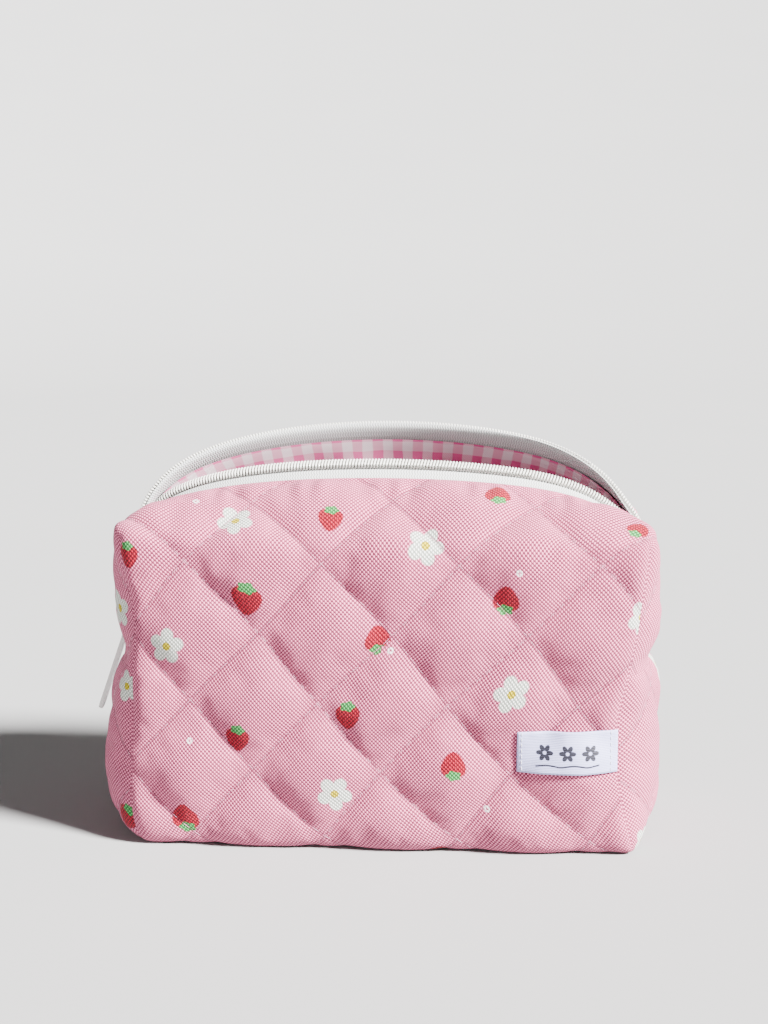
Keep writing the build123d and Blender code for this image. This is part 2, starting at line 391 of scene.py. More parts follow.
SEAM, EDGE = seam_distance(), edge_distance()
RISE, FALL = quilt_distance(ROW, COL)
PADDING = (
    (1 - np.exp(-RISE / 8.0)) * (1 - np.exp(-FALL / 8.0)) * (1 - np.exp(-SEAM / 5.5))
    * (1 - np.exp(-EDGE / 7.0))
)
PADDING /= PADDING.max()
PADDING *= np.where(OUT > 0, 0.6, 1.0) * (0.45 + 0.55 * smoothstep(np.abs(FRONT_ROW - ROW_BASE) / 9))


def cornered(points):
    """Lifts the front top corners into soft ears and lets the rear ones droop."""
    x, y, z = points.T
    front = np.exp(-(((np.abs(x) - 102) / 15) ** 2) - ((y + 42) / 14) ** 2) * smoothstep((z - 104) / 30)
    rear = np.exp(-(((np.abs(x) - 108) / 20) ** 2)) * smoothstep((z - 92) / 38) * smoothstep((y - 14) / 26)
    lift = (np.where(x < 0, 4.2, 1.5) * front - 11.0 * rear) * ~IN_HEM
    out = (np.where(x < 0, 3.6, 6.0) * front - 4.0 * rear) * ~IN_HEM * np.sign(x)
    return points + np.stack([out, 0 * out, lift], 1)


SLACK = [  # ripples of the slack cloth: height in mm, direction, wavelength over 2 pi in mm, phase
    (0.50, (1, 0.3, 0.8), 7.0, 0.4), (0.40, (-0.7, 0.5, 1), 5.2, 1.7), (0.35, (0.9, -1, 0.4), 9.0, 2.9),
    (0.22, (1, 0.2, -0.5), 2.6, 0.9), (0.18, (-0.6, 0.8, 1), 2.1, 2.2),
]


def padded_bag():
    """The cloth folded up, rounded and puffed between its stitching, with its slack wrinkled."""
    points = cornered(relax(POINTS, ~HELD, 7))
    out = normals(points)
    slack = sum(a * np.sin(points @ (np.array(w) / l) + f) for a, w, l, f in SLACK)
    gather = np.sin(COL * 0.9 + 2.0 * np.sin(COL * 0.37)) * np.exp(-((EDGE - 7) / 7) ** 2) * 0.7
    rise = PUFF * PADDING + 0.6 * slack * PADDING + gather - 0.8
    return points + out * (rise * ~HELD)[:, None]


def simulate(points):
    """Lets the cloth settle under its stuffing's pressure, held along its stitching and zip."""
    scale = 0.01  # scene units for a millimetre
    kept_share, most_mm = 0.5, 1.0  # of the movement that the simulation finds
    last_frame = 22
    mesh = bpy.data.meshes.new("cloth")
    mesh.from_pydata((points * scale).tolist(), [], FACES.tolist())
    thing = bpy.data.objects.new("cloth", mesh)
    bpy.context.collection.objects.link(thing)
    held = np.maximum(np.exp(-np.minimum(RISE, FALL) / 0.7), np.exp(-SEAM / 0.7))
    held = np.maximum(held, HELD | (points[:, 2] < 1.5))
    group = thing.vertex_groups.new(name="held")
    for i, w in enumerate(held):
        if w > 0.02:
            group.add([i], float(w), "REPLACE")
    cloth = thing.modifiers.new("cloth", "CLOTH")
    s = cloth.settings
    s.quality, s.mass, s.air_damping = 6, 0.25, 6.0
    s.tension_stiffness = s.compression_stiffness = 22
    s.shear_stiffness, s.bending_stiffness = 12, 2.5
    s.vertex_group_mass = "held"
    s.shrink_min = -0.02
    s.use_pressure, s.uniform_pressure_force = True, 0.35
    s.effector_weights.gravity = 0
    cloth.collision_settings.use_collision = False
    cloth.collision_settings.use_self_collision = False
    cloth.point_cache.frame_start, cloth.point_cache.frame_end = 1, last_frame + 2
    scene = bpy.context.scene
    for f in range(1, last_frame + 1):
        scene.frame_set(f)
    out = thing.evaluated_get(bpy.context.evaluated_depsgraph_get()).to_mesh()
    moved = np.zeros(len(points) * 3)
    out.vertices.foreach_get("co", moved)
    moved = moved.reshape(-1, 3) / scale
    scene.frame_set(1)
    bpy.data.objects.remove(thing)
    shift = moved - points
    far = np.linalg.norm(shift, axis=1, keepdims=True)
    return points + shift * np.minimum(kept_share, most_mm / np.maximum(far, 1e-6))


def settle(points):
    """Lays the bag on the floor: what would go under it is flat."""
    points = points.copy()
    points[:, 2] = np.where(points[:, 2] < 0.4, 0.15 + 0.25 * np.exp(points[:, 2] - 0.4), points[:, 2])
    return points


BASE = padded_bag()
BASE = simulate(BASE)
BASE = settle(BASE)


# Shader building

class Graph:
    """A material's nodes. Its methods take and give sockets or plain numbers."""

    def __init__(self, name):
        self.material = bpy.data.materials.new(name)
        self.material.use_nodes = True
        self.tree = self.material.node_tree
        self.shader = self.tree.nodes["Principled BSDF"]

    def node(self, kind, inputs=(), **settings):
        """A new node, with its inputs and settings filled in."""
        node = self.tree.nodes.new(kind)
        for name, value in settings.items():
            setattr(node, name, value)
        for name, value in dict(inputs).items():
            self.put(node.inputs[name], value)
        return node

    def put(self, socket, value):
        """Links a socket's value in, or sets a plain number, vector or colour."""
        if isinstance(value, Sock):
            value = value.socket
        if isinstance(value, bpy.types.NodeSocket):
            self.tree.links.new(value, socket)
        else:
            socket.default_value = (*value, 1.0) if socket.type == "RGBA" else value

    def math(self, operation, *values):
        node = self.node("ShaderNodeMath", dict(enumerate(values)), operation=operation)
        return Sock(self, node.outputs[0])

    def uv(self, name):
        return self.node("ShaderNodeUVMap", uv_map=name).outputs[0]

    def stretched(self, vector, amounts):
        """The vector with each of its parts multiplied by its own amount."""
        return self.node("ShaderNodeVectorMath", {0: vector, 1: amounts}, operation="MULTIPLY").outputs[0]

    def split(self, vector):
        """The vector's first two parts."""
        node = self.node("ShaderNodeSeparateXYZ", {0: vector})
        return Sock(self, node.outputs[0]), Sock(self, node.outputs[1])

    def noise(self, vector, scale, detail=2.0, rough=0.5):
        node = self.node(
            "ShaderNodeTexNoise", {"Vector": vector, "Scale": scale, "Detail": detail, "Roughness": rough}
        )
        return Sock(self, node.outputs["Fac"])

    def ramp(self, value, low, high, out_low=0.0, out_high=1.0):
        """Goes smoothly from out_low to out_high as the value goes from low to high."""
        node = self.node(
            "ShaderNodeMapRange",
            {"Value": value, "From Min": low, "From Max": high, "To Min": out_low, "To Max": out_high},
            interpolation_type="SMOOTHSTEP",
        )
        return Sock(self, node.outputs["Result"])

    def mix(self, share, a, b):
        """Colour a, with a share of colour b."""
        return self.node("ShaderNodeMix", {0: share, 6: a, 7: b}, data_type="RGBA").outputs[2]

    def bump(self, height, distance_mm):
        values = {"Strength": 1.0, "Distance": distance_mm / 1000, "Height": height}
        return self.node("ShaderNodeBump", values).outputs["Normal"]

    def finish(self, color, rough, normal=None, **uniform):
        """Fills in the shader. uniform holds what is the same all over, named like the sockets."""
        for name, value in (("Base Color", color), ("Roughness", rough), ("Normal", normal)):
            if value is not None:
                self.put(self.shader.inputs[name], value)
        for name, value in uniform.items():
            self.shader.inputs[name.replace("_", " ")].default_value = value
        return self.material


def operation(name):
    """A method of Sock that adds a math node."""
    return lambda self, *others: self.graph.math(name, self, *others)


class Sock:
    """A number in a shader, with ordinary arithmetic."""

    def __init__(self, graph, socket):
        self.graph, self.socket = graph, socket

    def __rsub__(self, other):
        return self.graph.math("SUBTRACT", other, self)

    __add__ = __radd__ = operation("ADD")
    __sub__ = operation("SUBTRACT")
    __mul__ = __rmul__ = operation("MULTIPLY")
    __truediv__ = operation("DIVIDE")
    __pow__ = operation("POWER")
    sin, cos, abs = operation("SINE"), operation("COSINE"), operation("ABSOLUTE")
    max, min = operation("MAXIMUM"), operation("MINIMUM")


DIM = 0.78  # of every colour, as the key light is strong


def srgb(r, g, b):
    """A colour given in 0 to 255, dimmed and as the shader takes it."""
    return tuple(DIM * (((c / 255 + 0.055) / 1.055) ** 2.4 if c > 10 else c / 255 / 12.92) for c in (r, g, b))


def weave(g, u, v, pitch):
    """A plain weave of threads one pitch apart: its height, and 1 where the warp lies over the weft."""
    su, sv = (u * (math.pi / pitch)).sin(), (v * (math.pi / pitch)).sin()
    over = g.ramp(su * sv, -0.5, 0.05)
    warp = (su.abs() ** 0.35) * (sv.abs() * 0.35 + 0.65)
    weft = (sv.abs() ** 0.6) * (su.abs() * 0.5 + 0.5)
    return warp * over + weft * (1.0 - over) * 0.3, over


STRAWBERRY, DAISY, RING = 0.0, 100.0, 200.0  # where each kind of motif lies in the motif layer's u


def canvas_material():
    """Pink duck canvas with a print of strawberries, daisies and small rings."""
    g = Graph("printed_canvas")
    cloth = g.uv("cloth")
    u, v = g.split(cloth)
    wobble = g.noise(cloth, 0.35, 2.0)
    height, over = weave(g, u + wobble * 0.25, v + wobble * 0.25, 0.875)
    fibre = g.noise(g.stretched(cloth, (2.2, 0.5, 1.0)), 2.6, 3.0)
    slub = g.noise(cloth, 0.045, 3.0)
    # lit: painted shade in the weave's recessed cells and painted highlight on its raised threads
    lit = g.ramp(height * 0.85 + fibre * 0.2, 0.25, 0.85)
    tone = g.mix(lit, srgb(92, 18, 48), srgb(255, 138, 176))
    tone = g.mix(g.ramp(slub, 0.3, 0.75) * 0.15, tone, srgb(240, 118, 156))
    x, y = g.split(g.uv("motif"))
    ragged = (g.noise(cloth, 1.9, 1.0) - 0.5) * 0.9 + (height - 0.5) * 0.35

    # Strawberry: a rounded top that narrows downwards, pale seeds, and a lobed leaf
    sx = x / (5.3 + (y * 0.36).min(0.9))
    sy = (y + 0.9) / 5.1
    body = (sx * sx + sy * sy) ** 0.5
    berry = g.ramp(body + ragged * 0.10, 1.03, 0.93)
    seed_x = ((x + y) * 1.55).sin()
    seed_y = ((x - y) * 1.55).sin()
    seeds = g.ramp(seed_x * seed_y, 0.72, 0.92)
    lx, ly = x / 3.0, (y - 3.3) / 1.9
    lobes = g.math("ARCTAN2", ly, lx) * 5.0
    leaf = (lx * lx + ly * ly) ** 0.5 - lobes.cos() * 0.13
    leaf = g.ramp(leaf + ragged * 0.12, 1.04, 0.92)
    # Daisy: five round petals about a yellow eye
    dx = x - DAISY
    radius = (dx * dx + y * y) ** 0.5
    turn = (g.math("ARCTAN2", y, dx) * 2.5).sin().abs()
    petals = g.ramp(radius - (4.6 + (turn ** 0.75) * 3.2) + ragged * 0.6, 0.35, -0.35)
    eye = g.ramp(radius + ragged * 0.5, 2.1, 1.6)
    # Small ring
    rx = x - RING
    ring = ((rx * rx + y * y) ** 0.5 - 0.95).abs()
    ring = g.ramp(ring, 0.5, 0.3)

    # Each print colour has a painted-shade copy and a painted-highlight copy, mixed by lit
    red = g.mix(lit, srgb(76, 0, 15), srgb(180, 0, 44))
    red = g.mix(seeds * 0.35, red, srgb(206, 64, 82))
    green = g.mix(lit, srgb(24, 84, 34), srgb(88, 176, 96))
    white = g.mix(lit, srgb(150, 156, 146), srgb(244, 246, 240))
    tone = g.mix(berry, tone, red)
    tone = g.mix(leaf, tone, green)
    tone = g.mix(petals, tone, white)
    tone = g.mix(eye * petals, tone, g.mix(lit, srgb(130, 112, 0), srgb(216, 198, 4)))
    tone = g.mix(ring * 0.8, tone, srgb(250, 246, 246))
    # Painted shade along the quilting lines, darkening the creases where shade falls
    rising = ((u - v - (U0 - V0)) * (math.pi / QUILT)).sin().abs()
    falling = ((u + v - (U0 + V0)) * (math.pi / QUILT)).sin().abs()
    painted_crease_shade = g.ramp(rising.min(falling) * (QUILT / math.pi / 1.414), 1.1, 0.1)
    # painted_crease_shade darkens the creases as painted shade
    tone = g.mix(painted_crease_shade * 0.42, tone, srgb(84, 24, 48))
    rough = g.ramp(fibre, 0.2, 0.8, 0.78, 0.95)
    normal = g.bump(height + fibre * 0.15, 0.5)
    return g.finish(tone, rough, normal, Sheen_Weight=0.06, Sheen_Roughness=0.5, Specular_IOR_Level=0.15)


def gingham_material():
    """Gingham lining: pink and white bands whose crossings are darker."""
    g = Graph("gingham_lining")
    cloth = g.uv("cloth")
    u, v = g.split(cloth)
    wobble = g.noise(cloth, 0.1, 1.0)
    bands = []
    for t in (u + wobble * 1.2, v - wobble * 1.2):
        bands.append(g.ramp((t * (math.pi / 4.2)).sin(), -0.16, 0.16))
    height, over = weave(g, u, v, 0.42)
    both = bands[0] * over + bands[1] * (1.0 - over)
    share = (bands[0] + bands[1]) * 0.38 + both * 0.24
    tone = g.mix(share, srgb(255, 240, 246), srgb(238, 100, 162))
    # Painted shade in the gaps between the threads
    tone = g.mix((1.0 - height) * 0.3, tone, srgb(150, 70, 110))
    rough = g.ramp(g.noise(cloth, 3.0), 0.3, 0.7, 0.8, 0.92)
    return g.finish(tone, rough, g.bump(height, 0.12), Sheen_Weight=0.15, Specular_IOR_Level=0.25)


def tape_material():
    """White zip tape, woven in a fine herringbone."""
    g = Graph("zip_tape")
    along, across = g.split(g.uv("cloth"))
    zig = (across * (math.pi / 2.6)).sin().abs()
    rib = (along * 5.2 + zig * 3.2).sin() * 0.5 + 0.5
    fine = g.noise(g.uv("cloth"), 2.4, 3.0)
    # Painted shade in the herringbone's grooves and painted highlight on its ribs, with some random tone from
    # fine
    tone = g.mix(rib * 0.6 + fine * 0.3, srgb(150, 152, 152), srgb(238, 240, 238))
    return g.finish(tone, g.ramp(fine, 0.2, 0.8, 0.62, 0.8), g.bump(rib + fine * 0.4, 0.14), Sheen_Weight=0.2)


def coil_material():
    """Off-white nylon wire, a little glossy and faintly yellowed."""
    g = Graph("zip_coil")
    vector = g.node("ShaderNodeTexCoord").outputs["Object"]
    fine = g.noise(vector, 900.0, 2.0)
    broad = g.noise(vector, 40.0, 2.0)
    tone = g.mix(broad, srgb(214, 212, 204), srgb(240, 240, 234))
    return g.finish(tone, g.ramp(fine, 0.3, 0.7, 0.34, 0.5), g.bump(fine, 0.02), Coat_Weight=0.1)


def enamel_material():
    """White enamel over cast metal, with slight orange peel and grey wear."""
    g = Graph("zip_hardware")
    vector = g.node("ShaderNodeTexCoord").outputs["Object"]
    peel = g.noise(vector, 1400.0, 2.0)
    broad = g.noise(vector, 160.0, 4.0, 0.6)
    wear = g.ramp(broad, 0.62, 0.74)
    tone = g.mix(g.noise(vector, 60.0), srgb(228, 228, 226), srgb(246, 246, 244))
    tone = g.mix(wear * 0.35, tone, srgb(176, 176, 176))
    rough = g.ramp(broad, 0.3, 0.7, 0.22, 0.38)
    return g.finish(tone, rough, g.bump(peel, 0.015), Coat_Weight=0.4, Coat_Roughness=0.12)


def thread_material(name, low, high):
    """Polyester sewing thread: two plies, with a painted highlight along each ply's crest."""
    g = Graph(name)
    along, turn = g.split(g.uv("cloth"))
    ply = (along * 7.0 + turn * 6.283).sin() * 0.5 + 0.5
    # Painted highlight on the plies' crests and painted shade between them
    tone = g.mix(ply, srgb(*low), srgb(*high))
    return g.finish(tone, g.ramp(ply, 0.0, 1.0, 0.34, 0.5), g.bump(ply, 0.05), Sheen_Weight=0.2)


def satin_material():
    """White woven satin label with a row of three plain flowers."""
    g = Graph("label_satin")
    uv = g.uv("cloth")
    u, v = g.split(uv)
    rib = (v * 9.0).sin() * 0.5 + 0.5
    floats = g.noise(g.stretched(uv, (0.35, 3.2, 1.0)), 2.0, 3.0)
    # Painted shade between the ribs, with some random tone from the floats
    tone = g.mix(rib * 0.4 + floats * 0.5, srgb(164, 166, 220), srgb(204, 206, 242))
    ink = None
    for place in (-9.5, 0.0, 9.5):
        dx = u - place
        radius = (dx * dx + v * v) ** 0.5
        turn = (g.math("ARCTAN2", v, dx) * 3.0).cos().abs()
        petal = g.ramp(radius - (1.9 + turn * 1.7), 0.16, -0.16) * g.ramp(radius, 0.6, 0.9)
        ink = petal if ink is None else ink.max(petal)
    stem = g.ramp((v + 5.4 - (u * 0.55).sin() * 0.35).abs(), 0.42, 0.3) * g.ramp(u.abs(), 13.6, 13.0)
    ink = ink.max(stem)
    # The ink is a little lighter on the ribs: a painted highlight
    tone = g.mix(ink * (0.92 + rib * 0.08), tone, srgb(12, 10, 14))
    rough = g.ramp(floats, 0.2, 0.8, 0.42, 0.6)
    return g.finish(tone, rough, g.bump(rib + floats * 0.6, 0.06), Specular_IOR_Level=0.25)


# Meshes

def make_piece(name, points, faces, material, uvs):
    """A mesh object from points in mm. uvs is {layer: one (u, v) for each face corner}."""
    mesh = bpy.data.meshes.new(name)
    mesh.from_pydata((np.asarray(points) / 1000).tolist(), [], [list(map(int, f)) for f in faces])
    for layer, values in uvs.items():
        data = mesh.uv_layers.new(name=layer).data
        data.foreach_set("uv", np.asarray(values, np.float32).ravel())
    mesh.polygons.foreach_set("use_smooth", [True] * len(mesh.polygons))
    mesh.materials.append(material)
    thing = bpy.data.objects.new(name, mesh)
    bpy.context.collection.objects.link(thing)
    return thing


def blend_top(piece):
    """Bakes the piece's placement into its mesh. The lining lies lower than the cloth it is sewn to."""
    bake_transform(piece)


# Where the motifs that the photo shows are on the flat cloth: (u, v, turn in degrees, size)
MOTIFS = {
    STRAWBERRY: [
        (-106, 121, 0, 0.9), (-21, 139, -8, 1.0), (46, 153, 190, 1.05), (101, 138, 160, 0.85),
        (-58, 106, -12, 1.3), (-2, 89, 185, 1.1), (52, 106, 175, 1.1), (-61, 47, -5, 1.1), (-11, 58, 5, 1.1),
        (37, 37, 178, 1.1), (-86, 10, 180, 1.2), (101, 44, 90, 1.0), (-122, -6, 60, 1.1),
    ],
    DAISY: [
        (-142, 140, 40, 1.0), (-179, -6, 15, 0.9), (-61, 139, 10, 1.0), (19, 128, 30, 1.0),
        (-94, 85, 50, 1.0), (60, 68, 0, 1.0), (-17, 24, 20, 1.0), (111, 99, 20, 0.95), (114, -12, 0, 0.9),
    ],
    RING: [(-77, 149, 0, 1), (-83, 45, 0, 1), (58, 118, 0, 1), (4, 85, 0, 1), (50, 18, 0, 1)],
}
MOTIF_GAP = 27  # the least distance between the middles of two motifs, for those placed at random
MOTIF_TRIES = 6000


def motif_uvs(corner_uv):
    """For each face corner, its place in the nearest motif's own frame, with the kind in u."""
    motifs = [(kind, *place) for kind, places in MOTIFS.items() for place in places]
    spots = np.array([(m[1], m[2]) for m in motifs], float)
    tries = np.stack([rng.uniform(-215, 215, MOTIF_TRIES), rng.uniform(-285, 190, MOTIF_TRIES)], 1)
    kinds = rng.random(MOTIF_TRIES)
    turns = rng.uniform(0, 360, MOTIF_TRIES)
    for (a, b), kind, turn in zip(tries, kinds, turns):
        in_photo = b > -40 and (abs(a) > 108 or -4 < b < 166)  # where only the list's motifs are
        if in_photo or np.hypot(*(spots - (a, b)).T).min() < MOTIF_GAP:
            continue
        spots = np.vstack([spots, (a, b)])
        motifs.append((STRAWBERRY if kind < 0.5 else DAISY if kind < 0.82 else RING, a, b, turn, 1.05))
    centre = corner_uv.mean(axis=1)
    nearest = np.argmin(np.hypot(centre[:, None, 0] - spots[:, 0], centre[:, None, 1] - spots[:, 1]), axis=1)
    kind, u, v, turn, size = (np.array([m[k] for m in motifs], float)[nearest][:, None] for k in range(5))
    c, s = np.cos(np.radians(turn)), np.sin(np.radians(turn))
    du, dv = (corner_uv[..., 0] - u) / size, (corner_uv[..., 1] - v) / size
    return np.stack([c * du + s * dv + kind, c * dv - s * du], -1)


def cell_uv():
    """Flat place in mm of each cell's four corners."""
    corners = np.stack([CELLS, CELLS + (0, 1), CELLS + (1, 1), CELLS + (1, 0)], 1)
    return np.stack([U0 + corners[..., 1] * STEP, V0 + corners[..., 0] * STEP], -1)


FRONT_CELLS = CELLS[:, 0] >= ROW_BASE - 4
FRONT_CELLS &= ~((CELLS[:, 0] < ROW_BASE) & ((CELLS[:, 1] < COL_L) | (CELLS[:, 1] >= COL_R)))


def subset(points, faces):
    """The points that the faces use, and the faces numbered again."""
    used, again = np.unique(faces, return_inverse=True)
    return points[used], again.reshape(faces.shape)


def make_cover(name, cells, material, points, uvs):
    """Part of the cloth as a piece, with its quads cut along the quilting lines."""
    quads, rows = FACES[cells], CELLS[cells]
    uvs = {k: a[cells] for k, a in uvs.items()}
    verts, quads = subset(points, quads)
    rising = (rows[:, 0] - rows[:, 1]) % QUILT_CELLS == 0
    falling = (rows[:, 0] + rows[:, 1] + 1) % QUILT_CELLS == 0
    faces, loops = [], {k: [] for k in uvs}
    for i, quad in enumerate(quads):
        if rising[i] or falling[i]:
            k = 0 if rising[i] else 1
            parts = [[k, k + 1, k + 2], [k, k + 2, (k + 3) % 4]]
        else:
            parts = [[0, 1, 2, 3]]
        for part in parts:
            faces.append([quad[p] for p in part])
            for key, a in uvs.items():
                loops[key] += [a[i][p] for p in part]
    piece = make_piece(name, verts, faces, material, loops)
    smoother = piece.modifiers.new("finer", "SUBSURF")
    smoother.levels = smoother.render_levels = 1
    smoother.boundary_smooth = "PRESERVE_CORNERS"
    apply_modifiers(piece)
    return piece


def apply_modifiers(piece):
    """Makes what the piece's modifiers give its own mesh."""
    done = bpy.data.meshes.new_from_object(piece.evaluated_get(bpy.context.evaluated_depsgraph_get()))
    piece.modifiers.clear()
    piece.data = done


CANVAS, GINGHAM = canvas_material(), gingham_material()
TAPE, COIL, ENAMEL, SATIN = tape_material(), coil_material(), enamel_material(), satin_material()
PINK_THREAD = thread_material("quilting_thread", (196, 108, 142), (240, 176, 200))
WHITE_THREAD = thread_material("label_thread", (206, 204, 220), (246, 245, 252))
FLAT_UV = cell_uv()
COVER_UV = {"cloth": FLAT_UV, "motif": motif_uvs(FLAT_UV)}

front_cover = make_cover("front_canvas_cover", FRONT_CELLS, CANVAS, BASE, COVER_UV)
rear_cover = make_cover("rear_canvas_cover", ~FRONT_CELLS, CANVAS, BASE, COVER_UV)

BODY_CELLS = (CELLS[:, 0] < ROW_EDGE) & (CELLS[:, 0] >= REAR_FLIP - ROW_EDGE)  # all but the hem


def lining_points():
    """The lining: the folded cloth without its padding, a little inside it and slack."""
    points = cornered(relax(folded(FLAT, LINING_EDGE), ~HELD, 26))
    out = normals(points, BODY_CELLS)
    soft = relax(out, ~IN_HEM, 10)
    soft /= np.maximum(np.linalg.norm(soft, axis=1, keepdims=True), 1e-6)
    waves = (((0.11, 0.05, 0.16), 0.6), ((-0.2, 0.09, 0.07), 2.0))
    wave = sum(np.sin(points @ np.array(way) + phase) for way, phase in waves) * smoothstep(EDGE / 30)
    inset = LINING_DEPTH - 0.1 - 2.2 * np.exp(-EDGE / 4.0) + 1.6 * smoothstep(EDGE / 14) + 0.8 * wave
    return points - soft * inset[:, None]


LINING = lining_points()
front_lining = make_cover("front_lining", FRONT_CELLS & BODY_CELLS, GINGHAM, LINING, {"cloth": FLAT_UV})
rear_lining = make_cover("rear_lining", ~FRONT_CELLS & BODY_CELLS, GINGHAM, LINING, {"cloth": FLAT_UV})

# The tape's cross-section, as a closed loop of (distance from the zip's line, depth)
TAPE_SECTION = [
    (0.5, 3.95), (4, 3.9), (8, 3.9), (13, 4.0), (17.5, 4.05),
    (17.5, 4.55), (13, 4.55), (8, 4.45), (4, 4.45), (0.5, 4.4),
]


def tape_piece(side):
    """One half of the zip's tape, a strip that runs on a little past the mid seams."""
    reach, count = 1.035, 270
    s = np.linspace(-reach, reach, count)
    section = np.array(TAPE_SECTION, float)
    rings = np.stack([top_point(side, s, np.full(count, q), d) for q, d in section], 1)
    n = len(section)
    points = rings.reshape(-1, 3)
    total = np.linalg.norm(np.diff(rim_at(side, s), axis=0), axis=1).sum()
    along = np.linspace(-total / 2, total / 2, count)
    faces, uv = [], []
    for i in range(count - 1):
        for k in range(n):
            k2 = (k + 1) % n
            quad = [(i, k), (i, k2), (i + 1, k2), (i + 1, k)]
            faces.append([a * n + b for a, b in quad])
            uv += [(along[a], section[b][0]) for a, b in quad]
    faces += [list(range(n))[::-1], [(count - 1) * n + k for k in range(n)]]
    uv += [(0, q) for q, _ in section] * 2
    return make_piece(f"zip_tape_{WORD[side]}", points, faces, TAPE, {"cloth": uv})


def coil_piece(side):
    """The zip's coil: a flattened helix of nylon wire, laid along the tape's edge."""
    pitch, per_turn, wire_radius = 1.34, 14, 0.46
    half_wide, half_deep = 2.0, 0.95
    line_s = np.linspace(-1.005, 1.005, 3000)
    length = spaced(top_point(side, line_s, np.full(len(line_s), COIL_Q), COIL_DEPTH))
    count = int(length[-1] / pitch) * per_turn
    s = np.interp(np.linspace(0, length[-1], count), length, line_s)
    phase = np.arange(count) / per_turn * 2 * math.pi
    q = COIL_Q + half_wide * np.cos(phase)
    depth = COIL_DEPTH - half_deep * np.sin(phase) * (1 + 0.15 * np.cos(phase))
    points, faces, uv = tube_mesh(top_point(side, s, q, depth), wire_radius, 6)
    return make_piece(f"zip_coil_{WORD[side]}", points, faces, COIL, {"cloth": uv})


def tube_mesh(centre, radius, sides, first=0):
    """Points, faces and uvs of a round wire along a line of points, its points numbered from first."""
    along = np.gradient(centre, axis=0)
    along /= np.maximum(np.linalg.norm(along, axis=1, keepdims=True), 1e-9)
    up = np.cross(along, np.where(np.abs(along[:, 2:3]) > 0.9, (1.0, 0, 0), (0, 0, 1.0)))
    up /= np.maximum(np.linalg.norm(up, axis=1, keepdims=True), 1e-9)
    over = np.cross(along, up)
    radius = np.broadcast_to(radius, len(centre))[:, None]
    angles = np.arange(sides) / sides * 2 * math.pi
    rings = np.stack([centre + (up * math.cos(a) + over * math.sin(a)) * radius for a in angles], 1)
    n = len(centre)
    length = spaced(centre)
    faces, uv = [], []
    for i in range(n - 1):
        for k in range(sides):
            corners = ((i, k), (i, k + 1), (i + 1, k + 1), (i + 1, k))
            faces.append([first + a * sides + b % sides for a, b in corners])
            uv += [(length[a], b / sides) for a, b in corners]
    faces += [[first + k for k in range(sides)][::-1], [first + (n - 1) * sides + k for k in range(sides)]]
    uv += [(0, 0)] * sides * 2
    return rings.reshape(-1, 3), faces, uv


tapes = {side: tape_piece(side) for side in (-1, 1)}
coils = {side: coil_piece(side) for side in (-1, 1)}


def many_tubes(name, lines, radius, sides, material):
    """A piece of many threads, each one tapered at its ends."""
    points, faces, uv, count = [], [], [], 0
    for line in lines:
        taper = np.full(len(line), radius)
        taper[0] = taper[-1] = radius * 0.45
        p, f, t = tube_mesh(line, taper, sides, count)
        points.append(p)
        faces += f
        uv += t
        count += len(p)
    return make_piece(name, np.concatenate(points), faces, material, {"cloth": uv})


def canvas_at(values, row, col):
    """What the cloth's points have in values, read at a fractional row and column. None off the cloth."""
    r, c = int(math.floor(row)), int(math.floor(col))
    total = np.zeros(3)
    for key_row, row_share in ((r, 1 - (row - r)), (r + 1, row - r)):
        for key_col, col_share in ((c, 1 - (col - c)), (c + 1, col - c)):
            share = row_share * col_share
            if share > 1e-9:
                if (key_row, key_col) not in INDEX:
                    return None
                total += share * values[INDEX[key_row, key_col]]
    return total


OUT_NORMALS = normals(BASE)


THREAD_RADIUS = 0.10
STITCH, STITCH_GAP = 1.45, 0.42  # in rows


def one_stitch(first_row, line, way):
    """Points of a stitch along a quilting line, or None where it leaves the cloth or jumps a seam."""
    points = []
    for along in np.linspace(0, STITCH, 5):
        row = first_row + along
        col = (row - QUILT_CELLS * line) * way
        place, out = canvas_at(BASE, row, col), canvas_at(OUT_NORMALS, row, col)
        if place is None:
            return None
        arch = math.sin(math.pi * along / STITCH) ** 0.6
        sunk = THREAD_RADIUS * arch - THREAD_RADIUS
        points.append(place + out / max(np.linalg.norm(out), 1e-6) * sunk)
    points = np.array(points)
    longest = np.linalg.norm(np.diff(points, axis=0), axis=1).max()
    return points if longest < 2.5 else None


def quilting(side):
    """Running stitches along every quilting line of one cover."""
    low, high = (ROW_BASE - 4, ROW_EDGE - 1) if side < 0 else (REAR_FLIP - ROW_EDGE, ROW_BASE - 4)
    stitches = []
    for way in (1, -1):
        for line in range(-14, 15):
            row = low + 0.3
            while row < high - STITCH:
                stitch = one_stitch(row, line, way)
                if stitch is not None:
                    stitches.append(stitch)
                row += STITCH + STITCH_GAP
    return many_tubes(f"{WORD[side]}_quilting_thread", stitches, THREAD_RADIUS, 5, PINK_THREAD)


front_stitches, rear_stitches = quilting(-1), quilting(1)


def front_face_at(x, z):
    """Row and column of the front face at x and z."""
    grid_col = np.arange(COL_L, COL_R + 1)
    row = ROW_BASE + LOW_CELLS * z / MID_Z
    line = np.array([BASE[INDEX[int(round(row)), c]][0] for c in grid_col])
    return row, float(np.interp(x, line, grid_col))


LABEL_PROUD, LABEL_THICK = 0.75, 0.45


